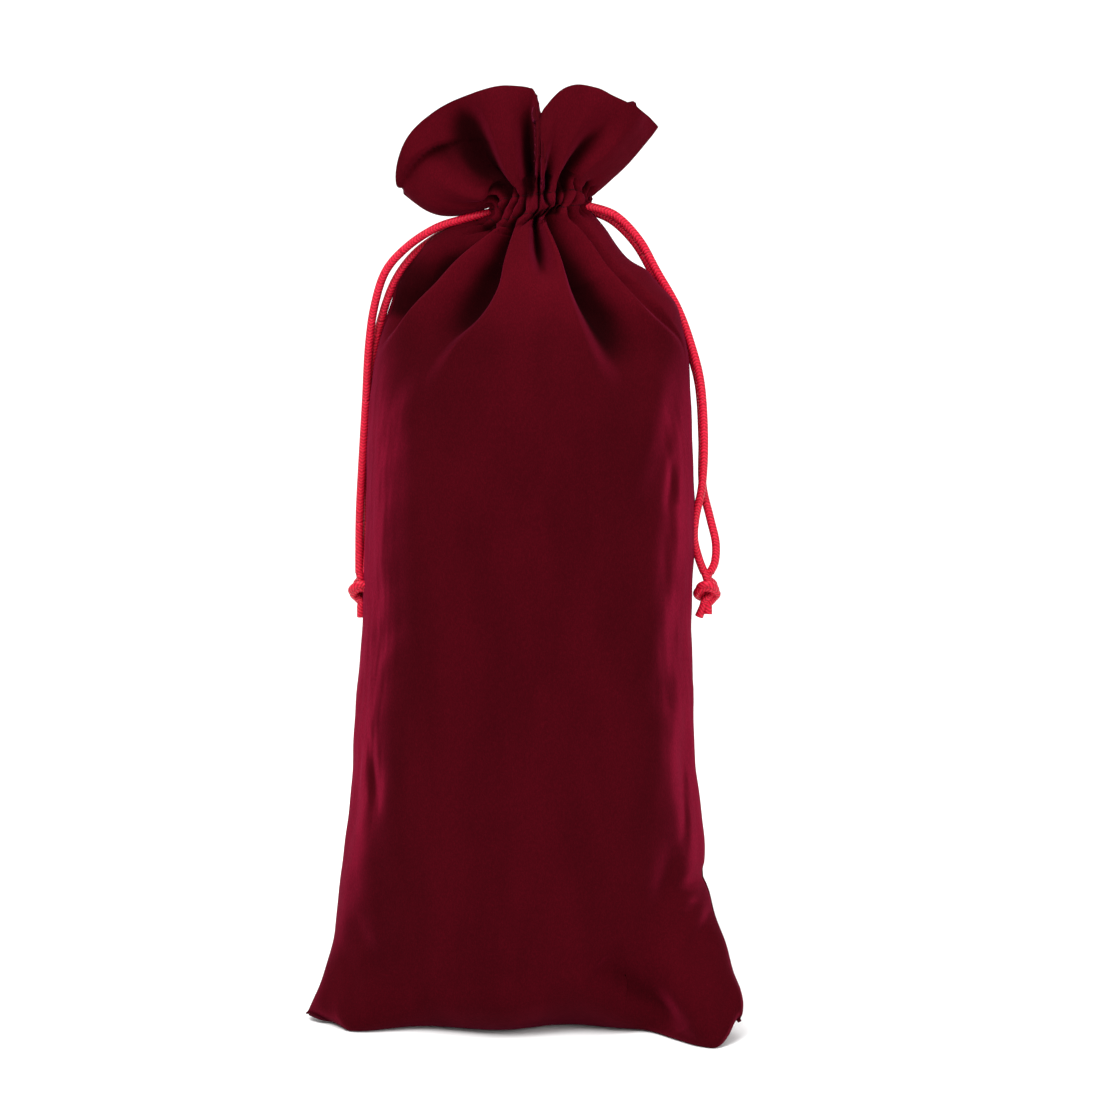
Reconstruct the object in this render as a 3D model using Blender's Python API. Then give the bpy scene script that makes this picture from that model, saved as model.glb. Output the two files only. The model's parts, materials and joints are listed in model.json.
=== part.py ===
"""Velvet drawstring gift sack: two panels, a split gathered collar and two knotted satin cords.

Metres, +Z up, +X to the viewer's right, -Y to the front. The origin is the middle of the base.
"""

import bpy
from math import atan2, cos, pi, radians, sin, tan
from mathutils import Matrix, Vector

MM = 0.001

# Driving sizes
FLAT_WIDTH = 150 * MM  # empty sack laid flat, seam to seam
PLY = 0.9 * MM  # one ply of velvet, pile included
GAP = 0.3 * MM  # clearance between separate pieces
FOLD_HEIGHT = 232 * MM  # the mouth folds open along this line
OPEN_ANGLE = radians(12)
HEM_HEIGHT = 325 * MM
CORD_RADIUS = 1.45 * MM
STRAND_OFFSET = 1.75 * MM  # half the spacing of the two strands of a cord

# Base
BASE_HALF_DEPTH = 26 * MM  # flat part of the base
BASE_ROUNDING = 13 * MM
EAR_LIFT = 3 * MM  # height of the corner tips
BASE_FLAT_SHARE = 0.62  # share of the half width over which the base is truly flat
SEAM_EDGE = 0.4 * MM + GAP  # panels stop this far from the plane of the side seams
BOTTOM_SEAM_HALF = 3 * MM
BOTTOM_SEAM_LENGTH = 136 * MM
SEAM_ALLOWANCE = 6 * MM

# Half width of the sack at its side seam, bottom to fold line
SIDE_OUTLINE = (
    (EAR_LIFT, FLAT_WIDTH / 2),
    (20 * MM, 70.5 * MM),
    (52 * MM, 63 * MM),
    (93 * MM, 59.3 * MM),
    (150 * MM, 56.2 * MM),
    (200 * MM, 56.0 * MM),
    (FOLD_HEIGHT, 53.5 * MM),
)
TOP_HALF_DEPTH = 35 * MM
TAPER_LENGTH = 45 * MM  # the panels thin from the base's depth to the top's over this height

# Seams
BOTTOM_SEAM_THICKNESS = 1.6 * MM
SIDE_SEAM_START = 9 * MM

# Collar sections: height, centre in X, half width, half depth
SHOULDER_SECTIONS = (
    (FOLD_HEIGHT, 0.5 * MM, 53.5 * MM, 35 * MM),
    (242 * MM, 0.5 * MM, 51.5 * MM, 34 * MM),
    (252 * MM, 0.5 * MM, 48.0 * MM, 31.5 * MM),
    (263 * MM, -1.0 * MM, 40.7 * MM, 27.5 * MM),
    (270 * MM, -1.0 * MM, 33.7 * MM, 24 * MM),
    (276 * MM, 0.8 * MM, 25.5 * MM, 20 * MM),
)
CASING_SECTIONS = (
    (278.0 * MM, 3.4 * MM, 21.5 * MM, 18 * MM),
    (278.8 * MM, 4.2 * MM, 20.0 * MM, 17.5 * MM),
    (281.5 * MM, 5 * MM, 17.4 * MM, 16.7 * MM),
    (285.5 * MM, 5 * MM, 18.0 * MM, 17.3 * MM),
    (289.8 * MM, 5 * MM, 17.2 * MM, 16.5 * MM),
    (291.0 * MM, 5 * MM, 17.2 * MM, 16.5 * MM),
)
RUFFLE_SECTIONS = (
    (294 * MM, 4.5 * MM, 21 * MM, 17.5 * MM),
    (300 * MM, 3 * MM, 30 * MM, 20 * MM),
    (308 * MM, 2.5 * MM, 38 * MM, 22 * MM),
    (317 * MM, 2 * MM, 43.5 * MM, 24 * MM),
    (HEM_HEIGHT, 1.5 * MM, 46 * MM, 25 * MM),
)
CORD_GATE = (278.5 * MM, 290.3 * MM)  # heights between which the cords leave at the side seams
GATE_EDGE = 3.8 * MM  # half width of that gate
COLLAR_EDGE = 0.5 * MM
COLLAR_THICKNESS = 1.2 * MM  # one ply with the slack of its gathers
COLLAR_DROP = 0.5 * MM  # the inner side of the steep shoulder sits this much lower
FOLD_MARGIN = radians(0.7)  # extra clearance angle under the tipping collar
RUN_RADIUS_LESS = 3.5 * MM  # cord path inside the channel, below the casing's own radius
RUN_HEIGHTS = {"left": 283.4 * MM, "right": 287.0 * MM}
FACING_LESS = 5.4 * MM  # the inner ply stands this far inside the casing
PACKED_CORE = 3 * MM  # packed pleats close the neck down to this half width
RUN_REACH = radians(66)
THREAD_RADIUS = 0.3 * MM
STITCH_HEIGHTS = {"lower": 282.8 * MM, "upper": 288.8 * MM}
STITCH_REACH = radians(70)

# Cord paths in the XZ plane, one list of corners for each side
CORD_PATHS = {
    "left": {
        "exit": ((-6.5, 284.3), (-30.0, 278.0)),
        "shoulder": ((-30.8, 277.7), (-38.9, 272.6), (-46.9, 263.6), (-51.6, 253.2)),
        "hang": ((-52.0, 252.0), (-56.3, 236.2)),
        "upper": ((-56.5, 235.2), (-60.3, 197.5)),
        "lower": ((-60.3, 196.5), (-61.0, 157.0)),
    },
    "right": {
        "exit": ((16.5, 285.4), (32.4, 281.2)),
        "shoulder": ((33.2, 280.8), (41.8, 273.0), (48.2, 263.4), (52.6, 253.2)),
        "hang": ((52.9, 252.0), (57.3, 236.2)),
        "upper": ((57.5, 235.2), (60.6, 197.5)),
        "lower": ((60.6, 196.5), (61.0, 157.0)),
    },
}
# Where the cords hinge in that plane: the upper length swings out, the lower one sways along the sack
CORD_HINGES = {
    "left": {"upper": (-56.4, 235.7), "lower": (-60.3, 197.0)},
    "right": {"upper": (57.4, 235.7), "lower": (60.6, 197.0)},
}
KNOT_HALF_HEIGHT = 5 * MM
KNOT_RADIUS = 4.2 * MM
KNOT_TIP_SHARE = 0.12  # part of the swelling curve cut off at each end of the knot
KNOT_WRAPS = 2
KNOT_GROOVE = 0.14  # groove between the wraps, as a share of the radius
CUT_END_LENGTH = 6 * MM
CUT_END_SPREAD = radians(14)

# Mesh fineness
PANEL_COLUMNS = 18
BASE_ROWS = 13
BASE_ROW_SHARE = 0.017  # spacing of the rows round the base
WALL_ROWS = 9
BOTTOM_SEAM_STEPS = 12
SIDE_SEAM_STEPS = 14
COLLAR_COLUMNS = 16
CORD_SIDES = 10
THREAD_SIDES = 6
STITCH_STEPS = 18
RUN_STEPS = 12
KNOT_SIDES = 14
KNOT_ROWS = 9
TUBE_TIP = 0.35  # radius of a strand's end face, as a share of its own
SHARP_ANGLE = radians(50)

COLOURS = {
    "velvet": ((0.085, 0.005, 0.011), 0.85),
    "velvet_inside": ((0.060, 0.004, 0.009), 0.9),
    "thread": ((0.050, 0.004, 0.008), 0.6),
    "satin_cord": ((0.42, 0.010, 0.028), 0.35),
}


def clear_scene():
    for item in list(bpy.data.objects):
        bpy.data.objects.remove(item, do_unlink=True)


def material(name):
    found = bpy.data.materials.get(name)
    if found:
        return found
    colour, roughness = COLOURS[name]
    made = bpy.data.materials.new(name)
    made.use_nodes = True
    shader = made.node_tree.nodes["Principled BSDF"]
    shader.inputs["Base Color"].default_value = (*colour, 1)
    shader.inputs["Roughness"].default_value = roughness
    shader.inputs["Metallic"].default_value = 0
    return made


def add_object(name, points, faces, finish, origin=(0, 0, 0)):
    """Makes one object whose origin is at the given place."""
    origin = Vector(origin)
    mesh = bpy.data.meshes.new(name)
    mesh.from_pydata([tuple(Vector(p) - origin) for p in points], [], faces)
    mesh.validate()
    mesh.shade_smooth()
    mesh.set_sharp_from_angle(angle=SHARP_ANGLE)
    mesh.materials.append(material(finish))
    made = bpy.data.objects.new(name, mesh)
    made.location = origin
    bpy.context.collection.objects.link(made)
    return made


def outline_value(stations, at):
    """Smooth curve through (position, value...) stations, with Catmull-Rom slopes."""
    last = len(stations) - 1
    i = 0
    while i < last - 1 and at > stations[i + 1][0]:
        i += 1
    before = stations[max(i - 1, 0)]
    here = stations[i]
    there = stations[i + 1]
    after = stations[min(i + 2, last)]
    span = there[0] - here[0]
    t = min(max((at - here[0]) / span, 0), 1)
    values = []
    for k in range(1, len(here)):
        slope_here = (there[k] - before[k]) / (there[0] - before[0]) * span
        slope_there = (after[k] - here[k]) / (after[0] - here[0]) * span
        values.append(
            here[k] * (2 * t**3 - 3 * t**2 + 1)
            + slope_here * (t**3 - 2 * t**2 + t)
            + there[k] * (3 * t**2 - 2 * t**3)
            + slope_there * (t**3 - t**2)
        )
    return values


def smooth_step(low, high, value):
    t = min(max((value - low) / (high - low), 0), 1)
    return t * t * (3 - 2 * t)


def shell(name, outer, inner, finish):
    """Closed solid between two grids of points with the same rows and columns."""
    rows = len(outer)
    columns = len(outer[0])
    points = [p for row in outer for p in row] + [p for row in inner for p in row]
    offset = rows * columns
    faces = []

    def index(row, column):
        return row * columns + column

    for r in range(rows - 1):
        for c in range(columns - 1):
            ring = (index(r, c), index(r, c + 1), index(r + 1, c + 1), index(r + 1, c))
            faces.append(ring)
            faces.append(tuple(offset + i for i in reversed(ring)))
    border = [index(0, c) for c in range(columns)]
    border += [index(r, columns - 1) for r in range(1, rows)]
    border += [index(rows - 1, c) for c in range(columns - 2, -1, -1)]
    border += [index(r, 0) for r in range(rows - 2, 0, -1)]
    for a, b in zip(border, border[1:] + border[:1]):
        faces.append((b, a, offset + a, offset + b))
    return add_object(name, points, faces, finish)


def tube(name, path, radius, sides, finish, origin=(0, 0, 0)):
    """Closed round strand along a path of points, with chamfered tips."""
    path = [Vector(p) for p in path]
    chamfer = radius * (1 - TUBE_TIP)
    start_way = (path[1] - path[0]).normalized()
    end_way = (path[-1] - path[-2]).normalized()
    centres = [path[0], path[0] + start_way * chamfer, *path[1:-1], path[-1] - end_way * chamfer, path[-1]]
    tip = radius * TUBE_TIP
    radii = [tip] + [radius] * (len(centres) - 2) + [tip]
    across = start_way.orthogonal().normalized()
    points = []
    for i, centre in enumerate(centres):
        way = (centres[min(i + 1, len(centres) - 1)] - centres[max(i - 1, 0)]).normalized()
        across = (across - way * across.dot(way)).normalized()
        other = way.cross(across)
        for k in range(sides):
            turn = 2 * pi * k / sides
            points.append(centre + radii[i] * (across * cos(turn) + other * sin(turn)))
    faces = [tuple(reversed(range(sides)))]
    for i in range(len(centres) - 1):
        for k in range(sides):
            a = i * sides + k
            b = i * sides + (k + 1) % sides
            faces.append((a, b, b + sides, a + sides))
    last = (len(centres) - 1) * sides
    faces.append(tuple(last + k for k in range(sides)))
    return add_object(name, points, faces, finish, origin)


def centre_profile(share, inset):
    """Depth and height along the middle of a panel, from the bottom seam up to the fold line."""
    start = BOTTOM_SEAM_HALF + GAP
    flat = BASE_HALF_DEPTH - start
    arc = BASE_ROUNDING * pi / 2
    wall = FOLD_HEIGHT - BASE_ROUNDING
    along = share * (flat + arc + wall)
    if along < flat:
        return start + along, inset
    if along < flat + arc:
        turn = (along - flat) / BASE_ROUNDING
        radius = BASE_ROUNDING - inset
        return BASE_HALF_DEPTH + radius * sin(turn), BASE_ROUNDING - radius * cos(turn)
    height = BASE_ROUNDING + along - flat - arc
    full = BASE_HALF_DEPTH + BASE_ROUNDING
    taper = (full - TOP_HALF_DEPTH) * smooth_step(FOLD_HEIGHT - TAPER_LENGTH, FOLD_HEIGHT, height)
    return full - taper - inset, height


def edge_profile(share, inset):
    """Half width and height along a side seam."""
    height = EAR_LIFT + share * (FOLD_HEIGHT - EAR_LIFT)
    return outline_value(SIDE_OUTLINE, height)[0] - inset, height


def panel_shares():
    """Row positions: close together around the base, wide apart up the wall."""
    low = [i * BASE_ROW_SHARE for i in range(BASE_ROWS + 1)]
    left = 1 - low[-1]
    high = [low[-1] + left * (i + 1) / WALL_ROWS for i in range(WALL_ROWS)]
    return low + high


def panel_grid(face, inset):
    rows = []
    for share in panel_shares():
        depth, low = centre_profile(share, inset)
        half_width, high = edge_profile(share, inset)
        row = []
        for c in range(PANEL_COLUMNS + 1):
            turn = pi * (c / PANEL_COLUMNS - 0.5)
            level = smooth_step(BASE_FLAT_SHARE, 1, abs(sin(turn)))
            y = SEAM_EDGE + (depth - SEAM_EDGE) * cos(turn)
            row.append((-face * half_width * sin(turn), face * y, low + (high - low) * level))
        rows.append(row)
    return rows


def panel(name, face):
    """One body panel: face is -1 at the front and +1 at the back."""
    return shell(name, panel_grid(face, 0), panel_grid(face, PLY), "velvet")


def bottom_seam():
    """Flat closing strip of the base, narrowing towards the ears."""
    half = BOTTOM_SEAM_LENGTH / 2
    tip = half / (FLAT_WIDTH / 2)
    reach = atan2(tip, (1 - tip * tip) ** 0.5)
    rows = {0: [], 1: []}
    for i in range(BOTTOM_SEAM_STEPS + 1):
        turn = (2 * i / BOTTOM_SEAM_STEPS - 1) * reach
        width = SEAM_EDGE - GAP + (BOTTOM_SEAM_HALF - SEAM_EDGE + GAP) * cos(turn)
        x = FLAT_WIDTH / 2 * sin(turn)
        for level in rows:
            z = level * BOTTOM_SEAM_THICKNESS
            rows[level].append(((x, -width, z), (x, width, z)))
    return shell("bottom_seam", rows[0], rows[1], "velvet_inside")


def side_seam(name, side):
    """Turned-in allowance of a side seam, a thin ribbon in the plane of the seams."""
    half = SEAM_EDGE - GAP
    length = FOLD_HEIGHT - GAP - SIDE_SEAM_START
    near = []
    far = []
    for i in range(SIDE_SEAM_STEPS + 1):
        z = SIDE_SEAM_START + length * i / SIDE_SEAM_STEPS
        outer = outline_value(SIDE_OUTLINE, z)[0] - PLY - GAP
        near.append(((side * outer, -side * half, z), (side * outer, side * half, z)))
        inner = outer - SEAM_ALLOWANCE
        far.append(((side * inner, -side * half, z), (side * inner, side * half, z)))
    return shell(name, near, far, "velvet_inside")


def gate_edge(z):
    """Distance of the collar's end from the seam plane at a height."""
    inside = CORD_GATE[0] < z < CORD_GATE[1]
    return GATE_EDGE if inside else COLLAR_EDGE


def half_ring(face, centre, half_width, half_depth, z, edge):
    """One row of points round the front or the back of the collar."""
    row = []
    for c in range(COLLAR_COLUMNS + 1):
        turn = pi * (c / COLLAR_COLUMNS - 0.5)
        y = edge + max(half_depth - edge, 0) * cos(turn)
        row.append([centre - face * half_width * sin(turn), face * y, z])
    return row


def lift_over_fold(row):
    """Raises the foot of the collar so that it can tip open over the panel below."""
    top = SHOULDER_SECTIONS[3][0]
    for point in row:
        foot = FOLD_HEIGHT + GAP + abs(point[1]) * tan(OPEN_ANGLE + FOLD_MARGIN)
        share = (point[2] - FOLD_HEIGHT) / (top - FOLD_HEIGHT)
        if share < 1:
            point[2] = foot + max(share, 0) * (top - foot)
    return row


def collar_grid(face, inset, drop):
    rows = []
    first = SHOULDER_SECTIONS[0][0]
    for z, centre, half_width, half_depth in SHOULDER_SECTIONS + CASING_SECTIONS + RUFFLE_SECTIONS:
        sag = drop if first < z < CORD_GATE[0] else 0
        row = half_ring(face, centre, half_width - inset, half_depth - inset, z - sag, gate_edge(z))
        rows.append(lift_over_fold(row))
    return rows


def collar(name, face):
    """Outer ply of the shoulder, casing and ruffle."""
    return shell(name, collar_grid(face, 0, 0), collar_grid(face, COLLAR_THICKNESS, COLLAR_DROP), "velvet")


def facing(name, face):
    """Turned-in hem: lines the ruffle, closes the cord channel and packs the neck."""
    outer = []
    inner = []
    for z, centre, half_width, half_depth in CASING_SECTIONS[2:5]:
        outer.append(half_ring(face, centre, half_width - FACING_LESS, half_depth - FACING_LESS, z, GATE_EDGE))
        inner.append(half_ring(face, centre, PACKED_CORE, GATE_EDGE + GAP, z, GATE_EDGE))
    less = COLLAR_THICKNESS + GAP
    z, centre, half_width, half_depth = CASING_SECTIONS[5]
    outer.append(half_ring(face, centre, half_width - less, half_depth - less, z, COLLAR_EDGE))
    inner.append(half_ring(face, centre, PACKED_CORE, PACKED_CORE, z, COLLAR_EDGE))
    for z, centre, half_width, half_depth in RUFFLE_SECTIONS:
        outer.append(half_ring(face, centre, half_width - less, half_depth - less, z, COLLAR_EDGE))
        thick = less + PLY
        core = half_width - thick
        deep = half_depth - thick
        if z < RUFFLE_SECTIONS[1][0]:
            core = core / 2
            deep = deep / 2
        inner.append(half_ring(face, centre, core, deep, z, COLLAR_EDGE))
    return shell(name, outer, inner, "velvet_inside")


def ring_path(face, z, less, reach, steps):
    """Points round one half of the casing at a height, between angles -reach and +reach."""
    centre, half_width, half_depth = outline_value(CASING_SECTIONS, z)
    path = []
    for i in range(steps + 1):
        turn = reach * (2 * i / steps - 1)
        path.append(
            (
                centre - face * (half_width - less) * sin(turn),
                face * (GATE_EDGE + (half_depth - less - GATE_EDGE) * cos(turn)),
                z,
            )
        )
    return path


def casing_stitches(side_name, face):
    """The two rows of stitching that close the cord channel, one thread each."""
    for row, z in STITCH_HEIGHTS.items():
        path = ring_path(face, z, -(THREAD_RADIUS + GAP), STITCH_REACH, STITCH_STEPS)
        tube(f"{side_name}_casing_stitch_{row}", path, THREAD_RADIUS, THREAD_SIDES, "thread")


def cord_runs(side_name, face):
    """The stretch of each cord that lies inside this half of the channel."""
    for cord, z in RUN_HEIGHTS.items():
        path = ring_path(face, z, RUN_RADIUS_LESS, RUN_REACH, RUN_STEPS)
        tube(f"{cord}_cord_{side_name}_run", path, CORD_RADIUS, CORD_SIDES, "satin_cord")


def strand_points(corners, angle_start, angle_end, strand, steps):
    """World points of one strand; the pair turns about the cord's own line by the given angles."""
    line = [in_plane(corner) for corner in corners]
    points = []
    for i in range(len(line) - 1):
        for k in range(steps):
            points.append((i + k / steps, line[i].lerp(line[i + 1], k / steps)))
    points.append((len(line) - 1, line[-1]))
    last = len(line) - 1
    result = []
    for place, centre in points:
        angle = angle_start + (angle_end - angle_start) * place / last
        i = min(int(place), last - 1)
        way = (line[i + 1] - line[i]).normalized()
        sideways = Vector((0, 1, 0)).cross(way)
        offset = Vector((0, 1, 0)) * cos(angle) + sideways * sin(angle)
        result.append(centre + offset * STRAND_OFFSET * strand)
    return result


def knot(name, centre, origin):
    """Overhand knot of both strands, pulled tight: a barrel with rolled wraps."""
    points = []
    for i in range(KNOT_ROWS):
        share = i / (KNOT_ROWS - 1)
        swell = sin(pi * (KNOT_TIP_SHARE + (1 - 2 * KNOT_TIP_SHARE) * share)) ** 0.5
        groove = 1 - KNOT_GROOVE * cos(2 * pi * KNOT_WRAPS * share) ** 2
        radius = KNOT_RADIUS * swell * groove
        z = centre.z + KNOT_HALF_HEIGHT * (2 * share - 1)
        for k in range(KNOT_SIDES):
            turn = 2 * pi * k / KNOT_SIDES
            points.append((centre.x + radius * cos(turn), centre.y + radius * sin(turn), z))
    faces = [tuple(reversed(range(KNOT_SIDES)))]
    for i in range(KNOT_ROWS - 1):
        for k in range(KNOT_SIDES):
            a = i * KNOT_SIDES + k
            b = i * KNOT_SIDES + (k + 1) % KNOT_SIDES
            faces.append((a, b, b + KNOT_SIDES, a + KNOT_SIDES))
    last = (KNOT_ROWS - 1) * KNOT_SIDES
    faces.append(tuple(last + k for k in range(KNOT_SIDES)))
    return add_object(name, points, faces, "satin_cord", origin)


def in_plane(place):
    """World point of a place given in millimetres in the XZ plane."""
    x, z = place
    return Vector((x * MM, 0, z * MM))


def cord_tail(side):
    """All lengths of one cord outside the casing, from the exit down to the cut ends."""
    paths = CORD_PATHS[side]
    turns = {"exit": (0, 0), "shoulder": (0, 0), "hang": (0, 0), "upper": (0, pi / 2), "lower": (pi / 2, pi / 2)}
    steps = {"exit": 1, "shoulder": 1, "hang": 1, "upper": 6, "lower": 1}
    hinges = CORD_HINGES[side]
    for length, corners in paths.items():
        origin = in_plane(hinges.get(length, corners[0]))
        for strand, word in ((-1, "front"), (1, "back")):
            points = strand_points(corners, *turns[length], strand, steps[length])
            name = f"{side}_cord_{length}_{word}"
            tube(name, points, CORD_RADIUS, CORD_SIDES, "satin_cord", origin)
    hinge = in_plane(hinges["lower"])
    top = in_plane(paths["lower"][-1])
    knot_centre = top - Vector((0, 0, GAP + KNOT_HALF_HEIGHT))
    knot(f"{side}_cord_knot", knot_centre, hinge)
    under = knot_centre.z - KNOT_HALF_HEIGHT - GAP
    for strand, word in ((-1, "inner"), (1, "outer")):
        outward = strand if side == "right" else -strand
        start = Vector((top.x + outward * STRAND_OFFSET, 0, under))
        way = Vector((outward * sin(CUT_END_SPREAD), 0, -cos(CUT_END_SPREAD)))
        path = (start, start + way * CUT_END_LENGTH)
        tube(f"{side}_cord_end_{word}", path, CORD_RADIUS, CORD_SIDES, "satin_cord", hinge)


def hang_from(name, place, *children):
    """Parents objects to an empty that stands on their joint's axis."""
    empty = bpy.data.objects.new(name, None)
    empty.location = place
    empty.empty_display_size = 10 * MM
    bpy.context.collection.objects.link(empty)
    for child in children:
        item = bpy.data.objects[child]
        item.parent = empty
        item.matrix_parent_inverse = Matrix.Translation(-Vector(place))


def build():
    clear_scene()
    panel("front_panel", -1)
    panel("back_panel", 1)
    bottom_seam()
    side_seam("left_side_seam", -1)
    side_seam("right_side_seam", 1)
    for side_name, face in (("front", -1), ("back", 1)):
        collar(f"{side_name}_collar", face)
        facing(f"{side_name}_facing", face)
        casing_stitches(side_name, face)
        cord_runs(side_name, face)
        parts = (
            f"{side_name}_collar",
            f"{side_name}_facing",
            f"{side_name}_casing_stitch_upper",
            f"{side_name}_casing_stitch_lower",
            f"left_cord_{side_name}_run",
            f"right_cord_{side_name}_run",
        )
        hang_from(f"mouth_{side_name}_axis", (0, 0, FOLD_HEIGHT), *parts)
    for side in CORD_PATHS:
        cord_tail(side)


build()
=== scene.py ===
"""Looks of the velvet drawstring gift sack: pleated velvet sheets, ruffle, stitching and satin cords.

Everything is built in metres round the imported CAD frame. +X is the viewer's right and -Y the front.
"""

import json
from math import cos, pi, radians, sin

import bpy
import numpy as np
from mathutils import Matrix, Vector


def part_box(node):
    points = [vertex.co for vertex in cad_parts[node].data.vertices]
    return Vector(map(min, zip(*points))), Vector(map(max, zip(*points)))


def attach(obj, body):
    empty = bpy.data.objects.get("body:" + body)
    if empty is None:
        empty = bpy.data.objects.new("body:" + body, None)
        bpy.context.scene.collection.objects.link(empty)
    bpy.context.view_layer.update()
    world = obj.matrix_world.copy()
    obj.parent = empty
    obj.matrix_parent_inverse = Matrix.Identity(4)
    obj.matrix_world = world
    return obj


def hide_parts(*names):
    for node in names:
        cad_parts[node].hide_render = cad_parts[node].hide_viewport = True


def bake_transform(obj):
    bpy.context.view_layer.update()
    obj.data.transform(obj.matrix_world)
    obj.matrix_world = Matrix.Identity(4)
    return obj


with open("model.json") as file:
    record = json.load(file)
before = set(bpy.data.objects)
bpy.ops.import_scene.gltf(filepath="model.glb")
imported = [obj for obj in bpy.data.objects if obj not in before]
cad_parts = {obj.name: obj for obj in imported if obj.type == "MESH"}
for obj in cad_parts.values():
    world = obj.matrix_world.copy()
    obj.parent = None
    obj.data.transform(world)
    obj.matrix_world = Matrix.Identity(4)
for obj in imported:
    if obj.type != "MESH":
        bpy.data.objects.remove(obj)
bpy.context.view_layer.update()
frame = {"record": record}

MM = 0.001
JOINTS = {j["name"]: j for j in frame["record"]["behaviour"]["joints"]}

# Sizes read from the frame
FOLD = JOINTS["mouth_front"]["pos_m"][2]
CASING_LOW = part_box("front_casing_stitch_lower")[0].z
CASING_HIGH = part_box("front_casing_stitch_upper")[1].z
NECK_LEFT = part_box("front_casing_stitch_lower")[0].x
NECK_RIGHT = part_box("front_casing_stitch_lower")[1].x
NECK_X = (NECK_LEFT + NECK_RIGHT) / 2
CORD_RADIUS = (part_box("left_cord_exit_front")[1].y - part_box("left_cord_exit_front")[0].y) / 2

# The gathered casing, in millimetres
CASING_BOTTOM = CASING_LOW / MM - 3.4
CASING_TOP = CASING_HIGH / MM - 0.6
CASING_TILT = 0.11  # the casing hangs lower towards the left
NECK_HALF_WIDTH = 17.6
GATE_HEIGHT = 281.6  # where the cords leave by the side seams
SEAM_SQUEEZE = 0.72  # how far the casing narrows towards the gates
ROLL_COUNT = 27  # rolls of cloth between the creases of the casing
STITCH_INSET = 1.6  # from the edges of the casing to its rows of stitches
TAB = (-0.19, 0.16)  # flat place on the front of the casing: angle of its middle and half its width

# The channel of the cords between cloth and facing, in millimetres
CHANNEL_REACH = 14.8  # half the length of cord inside the channel
CHANNEL_GAP = 1.1  # from the middle of the sack to the facing, at the seams
FACING_BOW = 0.9  # how much further the facing stands off in the middle of the front
CHANNEL_PLY = 1.4  # from the facing to the middle of the cord, at the seams
CHANNEL_BOW = 2.8  # how much further the cord stands off in the middle of the front

# Mesh fineness
COLUMNS = 480
BASE_ROWS = 44
WALL_ROWS = 84
SHOULDER_ROWS = 62
CASING_ROWS = 22
RUFFLE_ROWS = 56


# -------- number helpers


def smooth(low, high, value):
    t = np.clip((np.asarray(value, float) - low) / (high - low), 0, 1)
    return t * t * (3 - 2 * t)


def curve(xs, ys, at):
    """Catmull-Rom curve through the values ys at the places xs, held flat beyond its ends."""
    xs, ys = np.array(xs, float), np.array(ys, float)
    at = np.clip(np.asarray(at, float), xs[0], xs[-1])
    i = np.clip(np.searchsorted(xs, at, side="right") - 1, 0, len(xs) - 2)
    slopes = np.gradient(ys, xs)
    span = xs[i + 1] - xs[i]
    t = (at - xs[i]) / span
    return (
        ys[i] * (2 * t**3 - 3 * t**2 + 1)
        + slopes[i] * span * (t**3 - 2 * t**2 + t)
        + ys[i + 1] * (3 * t**2 - 2 * t**3)
        + slopes[i + 1] * span * (t**3 - t**2)
    )


def soft_noise(points, scale, seed):
    """Smooth pseudo-random field of a few crossed sine waves, about -1 to 1."""
    draw = np.random.default_rng(seed)
    total = np.zeros(points.shape[:-1])
    for _ in range(7):
        way = draw.normal(size=3)
        way /= np.linalg.norm(way)
        pitch = scale * draw.uniform(0.6, 1.5)
        total += np.sin(points @ way * 2 * pi / pitch + draw.uniform(0, 2 * pi))
    return total / 4


# -------- outline of the stuffed sack, in millimetres

# height, left edge, right edge
EDGES = (
    (0, -76.8, 70), (3, -76, 73.6), (7, -74.4, 75), (12, -72.2, 74.4), (18, -70.2, 72),
    (27, -67.4, 69.6), (36, -66.4, 66.6), (46, -65.2, 63.9), (50, -64.8, 62.2), (54, -64.3, 62.8),
    (69, -62.5, 61.8), (90, -60.2, 59.6), (111, -58.6, 58.4), (140, -56.2, 57.8), (175, -55.2, 59),
    (202, -54.4, 58.1), (216, -53.2, 57.2), (230, -51.4, 56.2), (243, -48.8, 53.7), (250, -46.4, 51.4),
    (257, -44.2, 44.8), (261, -41.6, 41.2), (264, -39.2, 36.4), (268, -36.2, 31.6), (272, -32.6, 27.7),
    (276, -25.6, 23.6), (279, -17, 21.8), (282, -12.4, 23),
)
# height, half depth in the middle
DEPTHS = (
    (0, 34), (12, 37.5), (30, 38.6), (120, 38.8), (200, 38), (222, 36), (237, 33.4), (249, 30.2),
    (259, 26.4), (267, 22.4), (273, 18.8), (277, 17), (280, 16.6),
)
EDGE_LEVELS, LEFT_EDGE, RIGHT_EDGE = zip(*EDGES)
DEPTH_LEVELS, HALF_DEPTH = zip(*DEPTHS)


def left_edge(z):
    return curve(EDGE_LEVELS, LEFT_EDGE, z)


def right_edge(z):
    return curve(EDGE_LEVELS, RIGHT_EDGE, z)


def half_depth(z):
    return curve(DEPTH_LEVELS, HALF_DEPTH, z)


FOOT_TOP = 40.0  # height where the rounded foot becomes the wall
HALF_GAP = 0.18  # half the least distance between front and back
CROWDING = 0.3  # columns stand closer together in the middle of the front and the back
EVEN = np.arange(COLUMNS) * 2 * pi / COLUMNS - pi
ANGLES = EVEN - CROWDING / 2 * np.sin(2 * EVEN)  # 0 at the front, +90 degrees at the right seam
SIN = np.sin(ANGLES)
COS = np.cos(ANGLES)
FRONT = COS >= 0
# degrees from the left to the right seam, on the front and on the back
FOLD_ANGLES = np.degrees(np.where(FRONT, ANGLES, np.sign(ANGLES) * pi - ANGLES))


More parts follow.
